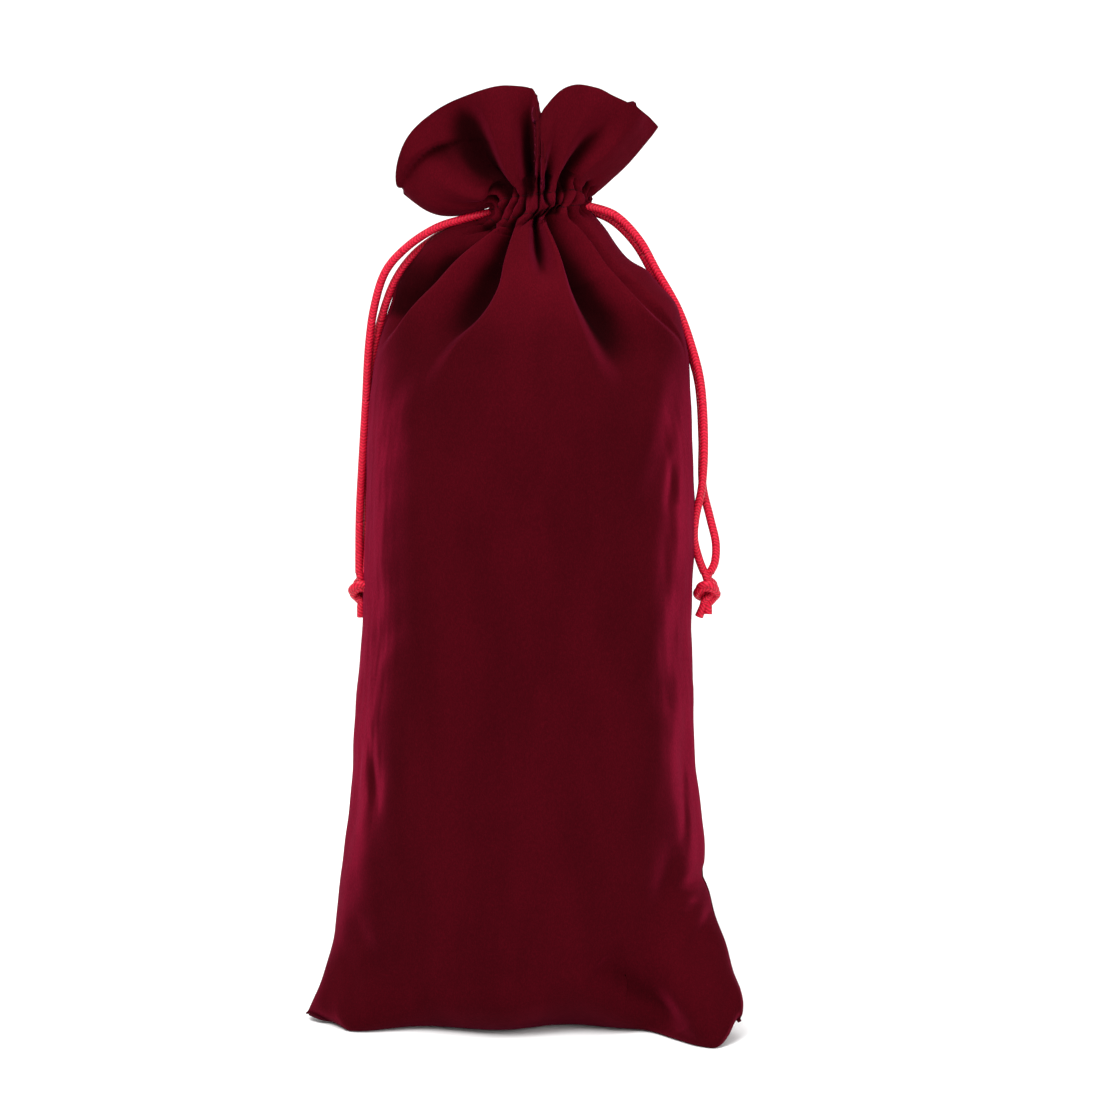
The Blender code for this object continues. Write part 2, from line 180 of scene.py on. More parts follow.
def corner_fullness(z):
    """Exponent of the cross-section: below 1 near the ground, where the front is straight to the corners."""
    return 0.55 + 0.45 * smooth(2, 30, z) + 0.25 * smooth(10, 40, z) * (1 - smooth(50, 110, z))


def base_grid():
    """Rows from the bottom seam, round the base and up to the foot of the wall, in millimetres."""
    flat, rounding = 25.0, 14.0
    arc = rounding * pi / 2
    wall = FOOT_TOP - rounding
    rows = []
    for i in range(BASE_ROWS):
        share = (i / BASE_ROWS) ** 1.05
        along = share * (flat + arc + wall)
        if along < flat:
            depth, low = along, 0.0
        elif along < flat + arc:
            turn = (along - flat) / rounding
            depth, low = flat + rounding * sin(turn), rounding * (1 - cos(turn))
        else:
            depth, low = flat + rounding, rounding + along - flat - arc
        depth = max(depth, HALF_GAP) * half_depth(low) / (flat + rounding)
        tip = np.where(SIN < 0, 1.6, 7.0)  # where the side seams end above the ground
        high = 2.0 + share * (FOOT_TOP - 2.0)
        level = smooth(np.where(SIN < 0, 0.84, 0.87), 1.0, np.abs(SIN)) ** 1.4
        z = low + (tip + share * (FOOT_TOP - tip) - low) * level
        x = np.where(SIN < 0, -left_edge(high), right_edge(high)) * SIN
        y = -np.sign(COS) * np.maximum(depth * np.abs(COS) ** corner_fullness(high), HALF_GAP)
        rows.append(np.stack([x, y, z], -1))
    return rows


def wall_grid(heights):
    rows = []
    for z in heights:
        middle = (left_edge(z) + right_edge(z)) / 2
        x = np.where(SIN < 0, left_edge(z), right_edge(z)) * np.abs(SIN)
        settle = smooth(235, 281, z)  # the neck is centred off the sack's own middle
        half = (right_edge(z) - left_edge(z)) / 2
        x = x * (1 - settle) + (middle + half * SIN) * settle
        y = -np.sign(COS) * np.maximum(half_depth(z) * np.abs(COS) ** corner_fullness(z), HALF_GAP)
        # at the side seams the casing narrows to the openings that the cords leave by
        gate = SEAM_SQUEEZE * smooth(0.72, 1.0, np.abs(SIN))
        low = (GATE_HEIGHT - CASING_BOTTOM) * smooth(262, CASING_BOTTOM, z)
        lift = low if z < CASING_BOTTOM else GATE_HEIGHT - z
        rows.append(np.stack([x, y, z + lift * gate], -1))
    return rows


# Rim of the ruffle: angle round the neck in degrees, X and height in millimetres
FRONT_RIM = (
    (-90, -41.5, 287.5), (-80, -43.4, 291), (-66, -42.6, 299), (-52, -37.6, 308),
    (-38, -27, 315.8), (-25, -15.2, 320.8), (-12, -5, 322.8), (-5, 1.4, 321.8), (-1, 3.4, 320.4),
    (1, 4.2, 317), (3, 5, 313.6), (5.5, 6.6, 315.2), (9, 9.5, 318.6), (13, 12.4, 321.2),
    (18, 16.4, 322.8), (27, 24, 322), (38, 29.6, 319.4), (56, 38, 315.2), (90, 45.4, 308.6),
)
BACK_RIM = (
    (-90, -41.5, 287.5), (-70, -41, 297.5), (-45, -30, 309), (-20, -12, 314), (0, 4, 310),
    (20, 16, 314), (45, 32, 316), (58, 38.6, 317), (66, 40.6, 314.6), (90, 45.4, 308.6),
)
RIM_DEPTH_FRONT = 21.0
RIM_DEPTH_BACK = 20.0


def ruffle_grid(base_row):
    """Rows from the top of the casing out to the rim, each column a curved path."""
    rim = np.zeros((COLUMNS, 3))
    for keys, mask, depth in ((FRONT_RIM, FRONT, -RIM_DEPTH_FRONT), (BACK_RIM, ~FRONT, RIM_DEPTH_BACK)):
        angles, xs, heights = zip(*keys)
        rim[mask, 0] = curve(angles, xs, FOLD_ANGLES[mask])
        rim[mask, 2] = curve(angles, heights, FOLD_ANGLES[mask])
        rim[mask, 1] = np.sign(depth) * np.maximum(abs(depth) * np.abs(COS[mask]) ** 0.8, HALF_GAP)
    sag_left = smooth(-0.35, -0.95, SIN)
    middle = smooth(0.85, 0.1, np.abs(SIN))
    handle = base_row + (rim - base_row) * 0.42
    handle[:, 2] += 5.5 * middle - 9.0 * sag_left
    handle[:, 1] += -np.sign(COS) * 5.5 * np.abs(COS)
    flare = smooth(0.35, 0.95, SIN)
    handle[:, 0] += 2.0 * flare - 4.0 * sag_left
    handle[:, 2] -= 3.0 * flare
    rows = []
    for i in range(1, RUFFLE_ROWS + 1):
        s = i / RUFFLE_ROWS
        rows.append(base_row * (1 - s) ** 2 + handle * 2 * s * (1 - s) + rim * s * s)
    return rows


# -------- folds

# Fold lines of the shoulders. Each has X and depth in millimetres at these heights.
SHOULDER_LEVELS = (212, 228, 238, 247, 257, 265, 272, 278)
FRONT_FOLDS = (
    ((-53, -52, -48, -45, -39, -32, -23, -11.6), (0, 0, 1.4, 6.5, 10.5, 11, 8.5, 4.5)),
    ((-52, -50, -45.5, -39, -29.4, -22, -15.4, -8.8), (0, 0, 0, 0, 0, 0, 0, 0)),
    ((-38, -33, -27, -19, -11.6, -8.8, -7.2, -5.4), (0, 1, 4, 8.5, 12, 12, 9.5, 7)),
    ((-33, -27, -21.8, -13.4, -8.2, -6.6, -4.6, -2.4), (0, 0, 0, 0, 0, 0, 0.1, 0.2)),
    ((0, 0, 0.6, 1, 1.2, 1.4, 1.4, 1.8), (0, 0, 0, 0, 0, 0.1, 0.2, 0.2)),
    ((4, 4, 5, 6, 6.8, 6.6, 5.6, 4.4), (0, 0, 0, 0, 0.7, 6, 9.5, 8)),
    ((8, 8, 9, 11, 12.6, 11.4, 8.7, 6), (0, 0, 0, 0, 0, 0.1, 0.2, 0.3)),
    ((26, 23, 20.4, 17.4, 14.2, 12.4, 9.6, 6.6), (0, 0, 0, 0, 0, 0, 0.2, 0.4)),
    ((38, 34, 30, 25.6, 20.4, 16.4, 12.4, 9.2), (0, 3, 7.5, 11, 12.5, 11.5, 9, 6.5)),
    ((56, 54, 51, 42, 33, 26.5, 20.4, 14.4), (0, 0, 0, 0, 0, 0, 0, 0)),
    ((57, 55, 52.5, 45, 36, 28.6, 22.4, 16.8), (0, 0, 0.6, 2.4, 3.6, 4, 3.6, 3)),
    ((57.5, 55.5, 53, 47.4, 38.6, 30.6, 24, 19), (0, 0, 0, 0.2, 0.4, 0.6, 0.8, 0.8)),
)
BACK_FOLDS = (
    ((-51, -50, -47, -42, -34, -26, -18, -8.5), (0, 0, 1, 3.6, 5.4, 5.6, 5, 4.4)),
    ((-42, -39, -36, -30, -23, -16, -10, -4.5), (0, 0, 0, 0, 0, 0, 0, 0)),
    ((-24, -21, -18, -14, -11, -7.6, -4.4, -1), (0, 2, 5.4, 9.6, 12, 11.5, 9, 7)),
    ((-9, -7, -5, -3.4, -1.8, 0, 1.6, 3), (0, 0, 0, 0, 0, 0, 0, 0)),
    ((6, 6, 7, 8, 8.5, 8.2, 7.4, 6.5), (0, 1.4, 4.2, 8, 10.6, 10.4, 9, 7)),
    ((21, 20, 19, 17, 15, 13, 11.4, 10), (0, 0, 0, 0, 0, 0, 0, 0)),
    ((37, 35, 32, 27, 23, 18.6, 16, 14), (0, 0, 3, 7.2, 9.6, 9.4, 8, 6)),
    ((50, 48, 45, 40, 33, 25.6, 20.4, 17.5), (0, 0, 0, 0, 0, 0, 0, 0)),
)
# Fold lines of the ruffle: X at the casing, angle at the rim, depths at the casing, half-way and at the rim
RUFFLE_FRONT = (
    (-11.2, -82, (0.5, 0, 0)), (-10.8, -70, (2.5, 0.6, 0.2)), (-10, -58, (0.4, 0, 0)),
    (-8.6, -44, (4, 3.6, 0.8)), (-6.8, -34, (9, 11, 2.6)), (-3.8, -25, (0.6, 0.2, 0)),
    (-1.2, -15, (0.4, 0, 0)), (1.3, -4, (11.5, 6.2, 0)), (3.9, 1.5, (1.4, 0.2, 0)),
    (4.5, 3.2, (3, 1.4, 0.4)), (5.2, 5.5, (0.6, 0.2, 0)), (6.2, 9, (0.4, 0, 0)),
    (7.8, 14, (6.5, 0.8, 0)), (10, 30, (0, 0, 0)), (13.6, 47, (8.5, 5.2, 0)), (17, 60, (0.5, 0, 0)),
    (20, 72, (2, 0.6, 0.4)),
)
RUFFLE_BACK = (
    (-9, -72, (1, 0, 0)), (-6, -52, (8, 8.4, 4)), (-1.5, -28, (0, 0, 0)),
    (2.5, -8, (8.5, 9, 5.4)), (6.5, 12, (0, 0, 0)), (11, 32, (8.5, 8.4, 4)), (15.5, 52, (0, 0, 0)),
    (18.5, 64, (4.4, 4, 3.6)), (20.5, 76, (0, 0, 0)),
)


def fold_profile(positions, depths, at):
    """Depth between neighbouring crest and valley lines, eased from one to the next."""
    order = np.argsort(positions)
    positions = np.array(positions)[order]
    depths = np.array(depths)[order]
    i = np.clip(np.searchsorted(positions, at) - 1, 0, len(positions) - 2)
    span = np.maximum(positions[i + 1] - positions[i], 1e-6)
    t = np.clip((at - positions[i]) / span, 0, 1)
    eased = t * t * (3 - 2 * t)
    rounded = 0.55 * eased + 0.45 * t
    return depths[i] + (depths[i + 1] - depths[i]) * rounded


def shoulder_fold_row(z, lines):
    """Fold depths along one row, front or back, as a function of X."""
    left, right = float(left_edge(z)), float(right_edge(z))
    positions, depths = [left - 1], [0.0]
    for xs, deep in lines:
        positions.append(float(np.clip(curve(SHOULDER_LEVELS, xs, z), left, right)))
        depths.append(max(float(curve(SHOULDER_LEVELS, deep, z)), 0.0))
    return positions + [right + 1], depths + [0.0]


def fold_depths(grid, kinds, shares):
    """Inward displacement of every grid point, in millimetres."""
    depth = np.zeros(grid.shape[:2])
    sides = ((FRONT, FRONT_FOLDS, RUFFLE_FRONT), (~FRONT, BACK_FOLDS, RUFFLE_BACK))
    for mask, shoulders, ruffles in sides:
        turns = [np.clip((k[0] - NECK_X / MM) / NECK_HALF_WIDTH, -1, 1) for k in ruffles]
        start = np.degrees(np.arcsin(turns))
        way = np.array([k[1] for k in ruffles]) - start
        for r, (kind, share) in enumerate(zip(kinds, shares)):
            z = float(grid[r, COLUMNS // 2, 2])  # the middle of the front is never squeezed
            if kind in ("wall", "shoulder") and z > SHOULDER_LEVELS[0]:
                positions, depths = shoulder_fold_row(min(z, SHOULDER_LEVELS[-1]), shoulders)
                depth[r, mask] = fold_profile(positions, depths, grid[r, mask, 0])
            if kind == "ruffle":
                levels = [max(float(curve((0, 0.5, 1), k[2], share)), 0.0) for k in ruffles]
                angles = start + way * share**0.8
                depth[r, mask] = fold_profile([-91, *angles, 91], [0, *levels, 0], FOLD_ANGLES[mask])
    return depth


def casing_scrunch(z):
    """Gathers of the casing: irregular rolls between sharp creases that wander as they climb."""
    draw = np.random.default_rng(21)
    band = (z - CASING_BOTTOM) / (CASING_TOP - CASING_BOTTOM)
    even = -pi + 2 * pi * (np.arange(ROLL_COUNT) + draw.uniform(-0.26, 0.26, ROLL_COUNT)) / ROLL_COUNT
    lean = draw.uniform(-0.10, 0.10, ROLL_COUNT)
    bow = draw.uniform(-0.10, 0.10, ROLL_COUNT)
    deep = draw.uniform(2.2, 4.4, ROLL_COUNT)
    middle, reach = TAB
    outside = np.abs(even - middle) > reach
    creases = np.append(even[outside], (middle - reach, middle + reach))
    lean, bow, deep = (np.append(k[outside], (v, v)) for k, v in ((lean, 0.02), (bow, 0.0), (deep, 4.0)))
    creases = creases + lean * (band - 0.5) + bow * np.sin(band * 2 * pi)
    away = np.abs((ANGLES[:, None] - creases + pi) % (2 * pi) - pi)
    nearest = away.argmin(1)
    distance = away.min(1)
    spread = pi / ROLL_COUNT
    return deep[nearest] * np.clip(1 - distance / spread, 0, 1) ** 1.5


def tilt_lift(grid):
    """Rise of the neck towards the right, in millimetres."""
    z = grid[..., 2]
    reach = smooth(262, CASING_BOTTOM, z) * (1 - smooth(CASING_TOP, CASING_TOP + 26, z))
    return np.clip(grid[..., 0] - NECK_X / MM, -18, 18) * CASING_TILT * reach


def unit_normals(grid):
    """Outward unit normals of a closed ring grid."""
    along = np.roll(grid, -1, axis=1) - np.roll(grid, 1, axis=1)
    up = np.gradient(grid, axis=0)
    normal = np.cross(along, up)
    length = np.linalg.norm(normal, axis=-1, keepdims=True)
    return normal / np.maximum(length, 1e-9)


# Soft creases of the body on the front: ends in X and Z, depth and half width, in millimetres
CREASES = (
    ((51.5, 199), (49.5, 181), 0.9, 2), ((53, 228), (47, 196), 0.8, 4),
    ((50, 170), (54, 120), 0.8, 4), ((46, 150), (52, 196), 0.5, 3), ((53, 68), (43, 34), 1.5, 5),
    ((25, 27), (52, 2), 5.4, 7.5), ((10, 25), (42, 5), -1.4, 6), ((64, 51), (47, 46), 1.1, 2.2),
    ((65, 47), (48, 36), 1, 2.4), ((66, 42), (56, 28), 0.9, 2.6), ((-58, 34), (-50, 18), 0.9, 4),
    ((-54, 102), (-51, 78), 0.8, 2), ((56.5, 114), (55.5, 62), 0.8, 1.8),
    ((50, 197), (31, 168), 0.8, 6), ((-50, 96), (-53, 70), 0.6, 4),
    ((-36, 236), (-46, 214), 0.9, 5),
)
# Overlapping fold of the left lobe: the cloth below this line of X and Z tucks in under the cloth above it
TUCK = ((-43, 289), (-35, 300), (-21, 304))
TUCK_DEPTH = 4.0
TUCK_REACH = 6.0
BACK_CREASES = (
    ((-48, 205), (-51, 175), 0.9, 3), ((40, 224), (50, 190), 0.9, 4.5), ((52, 60), (40, 34), 1.3, 5),
    ((-20, 24), (-52, 8), 1.6, 4.5), ((-46, 120), (-54, 70), 0.7, 5),
)


def crease_depth(grid, creases, front):
    side = grid[..., 1] < 0 if front else grid[..., 1] >= 0
    total = np.zeros(grid.shape[:2])
    for start, end, deep, width in creases:
        a = np.array(start, float)
        d = np.array(end, float) - a
        p = grid[..., [0, 2]] - a
        t = np.clip((p @ d) / (d @ d), 0, 1)
        away = np.linalg.norm(p - t[..., None] * d, axis=-1)
        fade = np.sin(pi * np.clip(t, 0.02, 0.98)) ** 0.5
        total += deep * fade * np.exp(-((away / width) ** 2))
    return total * side


def tuck_depth(grid):
    """A stepped fold: deep right under the line, easing out below it."""
    t = np.linspace(0, 1, 60)[:, None]
    a, b, c = np.array(TUCK, float)
    line = a * (1 - t) ** 2 + (2 * b - (a + c) / 2) * 2 * t * (1 - t) + c * t * t
    p = grid[..., [0, 2]]
    away = np.linalg.norm(p[:, :, None, :] - line, axis=-1)
    nearest, distance = away.argmin(-1), away.min(-1)
    ahead = np.gradient(line, axis=0)[nearest]
    to = p - line[nearest]
    below = ahead[..., 0] * to[..., 1] - ahead[..., 1] * to[..., 0] < 0
    fade = np.sin(pi * np.clip(nearest / 59, 0.08, 0.97)) ** 0.7
    step = np.where(below, np.exp(-distance / TUCK_REACH), np.exp(-distance / 0.5))
    return TUCK_DEPTH * fade * step * (grid[..., 1] < 0)


# How far the foot of the sack leans to the front along X, in millimetres
FOOT_SHIFT = (
    (-77, 9), (-72, 13), (-65, 12.5), (-56, 9.5), (-47, 4), (-40, 0), (-6, 0), (15, -6), (32, 0),
    (43, 5.5), (51.5, 17), (58, 26), (65, 32.5), (70, 35), (74, 38),
)


def ear_shift(grid):
    """The right ear swings to the front and lies on the ground; the left one leans a little."""
    x, y, z = grid[..., 0], grid[..., 1], grid[..., 2]
    shift = curve(*zip(*FOOT_SHIFT), x)
    low = np.where(x > 34, 1 - smooth(0, 62, z), 1 - smooth(0, 30, z))
    moved = grid.copy()
    moved[..., 1] -= shift * low * np.where(shift < 0, y < 0, True)
    return moved


SIM_SCALE = 4.0  # the copy is simulated larger than life, where the solver is steadier
SIM_COLUMN_STEP = 3
SIM_ROWS = 90
SIM_FRAMES = 14
SIM_SETTINGS = {
    "quality": 6, "mass": 0.3,
    "tension_stiffness": 15, "compression_stiffness": 15, "bending_stiffness": 0.3,
    "vertex_group_mass": "pins", "use_pressure": True, "uniform_pressure_force": 3.0,
    "shrink_min": -0.006,  # the cloth is longer than the shape it starts from
}
SHIFT_LIMIT = 0.62  # largest wrinkle taken over from the run, in millimetres
BLUR_PASSES = 60


def simulate(points, faces, pinned):
    """Cloth under pressure without gravity; returns where its points end up."""
    mesh = bpy.data.meshes.new("cloth_copy")
    mesh.from_pydata(points.tolist(), [], faces)
    copy = bpy.data.objects.new("cloth_copy", mesh)
    scene = bpy.context.scene
    scene.collection.objects.link(copy)
    copy.vertex_groups.new(name="pins").add(pinned, 1.0, "REPLACE")
    cloth = copy.modifiers.new("cloth", "CLOTH")
    for key, value in SIM_SETTINGS.items():
        setattr(cloth.settings, key, value)
    cloth.settings.effector_weights.gravity = 0
    cloth.collision_settings.use_collision = False
    for step in range(1, SIM_FRAMES + 1):
        scene.frame_set(step)
    settled = copy.evaluated_get(bpy.context.evaluated_depsgraph_get()).data
    ended = np.empty(len(points) * 3)
    settled.vertices.foreach_get("co", ended)
    scene.frame_set(1)
    bpy.data.objects.remove(copy)
    return ended.reshape(-1, 3)


def blurred(field, passes):
    """Evens out a field of rows and closed columns."""
    for _ in range(passes):
        field = (np.roll(field, 1, 1) + 2 * field + np.roll(field, -1, 1)) / 4
        padded = np.pad(field, ((1, 1), (0, 0)), mode="edge")
        field = (padded[:-2] + 2 * field + padded[2:]) / 4
    return field


def settle_cloth(grid, kinds):
    """Wrinkles of a cloth run on a coarser copy of the body, as outward shifts in millimetres."""
    rows = np.linspace(BASE_ROWS * 2 // 3, kinds.index("shoulder") + 6, SIM_ROWS).round().astype(int)
    coarse = grid[rows][:, ::SIM_COLUMN_STEP]
    across = coarse.shape[1]
    points = coarse.reshape(-1, 3) * MM * SIM_SCALE
    after = np.roll(np.arange(across), -1)
    faces = [
        (r * across + c, r * across + int(after[c]), (r + 1) * across + int(after[c]), (r + 1) * across + c)
        for r in range(SIM_ROWS - 1)
        for c in range(across)
    ]
    ends = list(range(across)) + list(range((SIM_ROWS - 1) * across, SIM_ROWS * across))
    moved = (simulate(points, faces, ends) - points).reshape(coarse.shape) / (MM * SIM_SCALE)
    shift = (moved * unit_normals(coarse)).sum(-1)
    shift = blurred(shift, 4)
    broad = blurred(shift, BLUR_PASSES)
    wrinkles = SHIFT_LIMIT * np.tanh((shift - broad) / SHIFT_LIMIT)
    steps = np.arange(0, COLUMNS + 1, SIM_COLUMN_STEP)
    closed = np.concatenate([wrinkles, wrinkles[:, :1]], 1)
    wide = np.array([np.interp(np.arange(COLUMNS), steps, row) for row in closed])
    level = np.arange(len(grid))
    full = np.stack([np.interp(level, rows, wide[:, c], left=0, right=0) for c in range(COLUMNS)], 1)
    ease = smooth(0, 8, level - rows[0]) * smooth(0, 24, rows[-1] - level)
    return full * ease[:, None] * (1 - 0.8 * smooth(0.95, 1.0, np.abs(SIN)))


def gather_casing(depth, kinds, heights):
    """Adds the casing's own gathers, and the two stitched pinches that bound it."""
    neck, top = CASING_BOTTOM, CASING_TOP
    shoulder_end, first_ruffle = kinds.index("casing") - 1, kinds.index("ruffle")
    low_depth, high_depth = depth[shoulder_end].copy(), depth[first_ruffle].copy()
    for r in range(shoulder_end - 8, first_ruffle + 9):
        z = heights[r]
        inside = smooth(neck - 1.0, neck + 1.6, z) * (1 - smooth(top - 1.6, top + 2.0, z))
        across = smooth(neck, top, z)
        carried = low_depth * (1 - across) + high_depth * across
        if kinds[r] == "casing":
            depth[r] = carried
        puckers = smooth(neck - 4.0, neck + 1.0, z) * (1 - smooth(top - 1.0, top + 4.0, z))
        depth[r] = depth[r] * (1 - inside) + inside * 0.35 * carried + puckers * casing_scrunch(z)
        bulge = np.exp(-(((z - (neck + top) / 2) / 3.2) ** 2))
        pinch = sum(np.exp(-(((z - seam) / 0.7) ** 2)) for seam in (neck + STITCH_INSET, top - STITCH_INSET))
        depth[r] += (0.7 * pinch - 0.9 * bulge) * smooth(1.0, 0.8, np.abs(SIN))


def waves(grid, shares):
    """Slight unevenness of the cloth, its side seams and the ripples beside them, as depths."""
    height, beside = grid[..., 2], np.abs(SIN)
    calm = smooth(3, 14, height) * (1 - smooth(262, 276, height))
    depth = calm * (0.55 * soft_noise(grid, 46.0, 3) + 0.3 * soft_noise(grid, 21.0, 5))
    depth += shares[:, None] * 0.8 * soft_noise(grid, 18.0, 11)
    # fine upright ripples where the side seams draw the cloth together
    upright = grid * (1.0, 1.0, 0.22)
    by_seam = smooth(0.70, 0.93, beside) * smooth(60, 85, height) * (1 - smooth(205, 235, height))
    depth += by_seam * (0.13 * soft_noise(upright, 7.0, 17) + 0.07 * soft_noise(upright, 3.4, 19))
    # a fine groove where the panels meet
    seam = np.exp(-(((np.abs(ANGLES) - pi / 2) / 0.018) ** 2))
    return depth + 0.55 * seam * smooth(10, 30, height)


def darkness(depth, plain, kinds):
    """Painted shade of the pile, 0 to 1: deep in the folds, and a painted shadow on the outer left shoulder
    under the left ruffle lobe and cord.
    """
    casing, ruffle = kinds.index("casing"), kinds.index("ruffle")
    painted_shade = smooth(1.0, 10.5, depth)
    painted_shade[ruffle:] = smooth(0.8, 7.0, depth[ruffle:])
    near_casing = slice(casing - 1, ruffle + 4)
    painted_shade[near_casing] = smooth(0.7, 4.2, depth[near_casing])
    # painted shadow on the outer left shoulder, under the left ruffle lobe and cord
    x, y, z = plain[..., 0], plain[..., 1], plain[..., 2]
    ridge = curve(SHOULDER_LEVELS, FRONT_FOLDS[1][0], z)
    brushed_nap_and_painted_shadow = smooth(243, 249, z) * (1 - 0.6 * smooth(260, 271, z)) * smooth(-1, 6, ridge - x) * (y < 0)
    brushed_nap_and_painted_shadow[casing:] = 0
    return np.maximum(painted_shade, 0.85 * brushed_nap_and_painted_shadow)


def whole_sheet():
    """The outer surface as rows and columns of points in millimetres, its kinds of rows and its darkness."""
    wall = np.linspace(FOOT_TOP, FOLD / MM, WALL_ROWS)
    shoulder = np.linspace(FOLD / MM, CASING_BOTTOM, SHOULDER_ROWS + 1)[1:]
    casing = np.linspace(CASING_BOTTOM, CASING_TOP, CASING_ROWS + 1)[1:]
    ruffle = np.arange(RUFFLE_ROWS)
    counts = (("base", BASE_ROWS), ("wall", WALL_ROWS), ("shoulder", SHOULDER_ROWS), ("casing", CASING_ROWS))
    kinds = [kind for kind, count in (*counts, ("ruffle", RUFFLE_ROWS)) for _ in range(count)]
    grid = base_grid() + wall_grid([*wall, *shoulder, *casing])
    grid = np.array(grid + ruffle_grid(grid[-1]))
    plain = grid.copy()
    heights = np.concatenate([np.zeros(BASE_ROWS), wall, shoulder, casing, CASING_TOP + ruffle * 0.5])
    shares = np.concatenate([np.zeros(len(grid) - RUFFLE_ROWS), (ruffle + 1) / RUFFLE_ROWS])
    depth = fold_depths(grid, kinds, shares)
    gather_casing(depth, kinds, heights)
    depth += crease_depth(grid, CREASES, True) + crease_depth(grid, BACK_CREASES, False)
    depth[-RUFFLE_ROWS:] += tuck_depth(grid[-RUFFLE_ROWS:])
    depth += waves(grid, shares)
    grid = ear_shift(grid)
    grid[..., 2] += tilt_lift(grid)
    flat = smooth(0.0, 3.0, grid[..., 2])
    grid = grid - unit_normals(grid) * (depth * flat)[..., None]
    grid = grid + unit_normals(grid) * settle_cloth(grid, kinds)[..., None]
    grid[..., 2] = np.maximum(grid[..., 2], 0)
    return grid, kinds, darkness(depth, plain, kinds)


# -------- building meshes


def add_object(name, mesh, finish):
    mesh.validate()
    mesh.shade_smooth()
    mesh.materials.append(finish)
    made = bpy.data.objects.new(name, mesh)
    bpy.context.scene.collection.objects.link(made)
    return made


def label(piece, slot, *nodes):
    """Hides the CAD nodes that a piece stands for. The slot argument is not used."""
    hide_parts(*nodes)


def follow_collar(piece):
    """Bakes the piece's placement into its mesh."""
    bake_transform(piece)


def sheet_shell(name, outer, normal, thickness, finish, painted_shade=None):
    """Closed fabric sheet: the outer grid, an inner one set back by its thickness, and the rims."""
    rows, columns = outer.shape[:2]
    inner = outer - normal * thickness
    points = np.concatenate([outer.reshape(-1, 3), inner.reshape(-1, 3)])
    normals = np.concatenate([normal.reshape(-1, 3), -normal.reshape(-1, 3)])
    count = rows * columns
    index = np.arange(count).reshape(rows, columns)
    a, b = index[:-1, :-1].ravel(), index[:-1, 1:].ravel()
    c, d = index[1:, 1:].ravel(), index[1:, :-1].ravel()
    faces = [np.stack([a, b, c, d], -1), np.stack([d, c, b, a], -1) + count]
    border = np.concatenate([index[0, :-1], index[:-1, -1], index[-1, :0:-1], index[:0:-1, 0]])
    after = np.roll(border, -1)
    faces.append(np.stack([after, border, border + count, after + count], -1))
    faces = np.concatenate(faces).astype(np.int32)
    mesh = bpy.data.meshes.new(name)
    mesh.vertices.add(len(points))
    mesh.vertices.foreach_set("co", (points * MM).astype(np.float32).ravel())
    mesh.loops.add(faces.size)
    mesh.loops.foreach_set("vertex_index", faces.ravel())
    mesh.polygons.add(len(faces))
    mesh.polygons.foreach_set("loop_start", np.arange(0, faces.size, 4, dtype=np.int32))
    mesh.update(calc_edges=True)
    made = add_object(name, mesh, finish)
    mesh.normals_split_custom_set_from_vertices([tuple(n) for n in normals])
    # painted shade of the folds and the outer left shoulder, kept on the points for the velvet's colour
    if painted_shade is not None:
        attribute = made.data.attributes.new("painted_shade", "FLOAT", "POINT")
        attribute.data.foreach_set("value", np.tile(painted_shade.ravel(), 2).astype(np.float32))
    return made


# -------- materials


class Nodes:
    """The node tree of one material, with short ways to add to it. Values are sockets or numbers."""

    def __init__(self, name):
        self.made = bpy.data.materials.new(name)
        self.made.use_nodes = True
        self.tree = self.made.node_tree
        self.shader = self.tree.nodes["Principled BSDF"]

    def put(self, value, socket):
        if isinstance(value, bpy.types.NodeSocket):
            self.tree.links.new(value, socket)
        else:
            socket.default_value = value

    def add(self, kind, inputs, **settings):
        node = self.tree.nodes.new("ShaderNode" + kind)
        for key, value in settings.items():
            setattr(node, key, value)
        for key, value in inputs.items():
            self.put(value, node.inputs[key])
        return node

    def shade(self, **inputs):
        for key, value in inputs.items():
            self.put(value, self.shader.inputs[key.replace("_", " ")])

    def noise(self, place, scale, detail=2.0, stretch=None):
        if stretch is not None:
            place = self.add("Mapping", {"Vector": place, "Scale": stretch}).outputs["Vector"]
        return self.add("TexNoise", {"Scale": scale, "Detail": detail, "Vector": place}).outputs["Fac"]

    def mix(self, factor, first, second):
        inputs = {0: factor, 6: first, 7: second}
        return self.add("Mix", inputs, data_type="RGBA", blend_type="MIX").outputs[2]

    def ramp(self, value, low, high, new_low, new_high):
        inputs = {0: value, 1: low, 2: high, 3: new_low, 4: new_high}
        return self.add("MapRange", inputs, interpolation_type="SMOOTHSTEP").outputs[0]

    def scale(self, colour, factor):
        return self.add("VectorMath", {0: colour, "Scale": factor}, operation="SCALE").outputs[0]

    def math(self, operation, first, second):
        return self.add("Math", {0: first, 1: second}, operation=operation).outputs[0]

    def bump(self, height, strength, distance):
        bump = self.add("Bump", {"Strength": strength, "Distance": distance, "Height": height})
        self.shade(Normal=bump.outputs["Normal"])


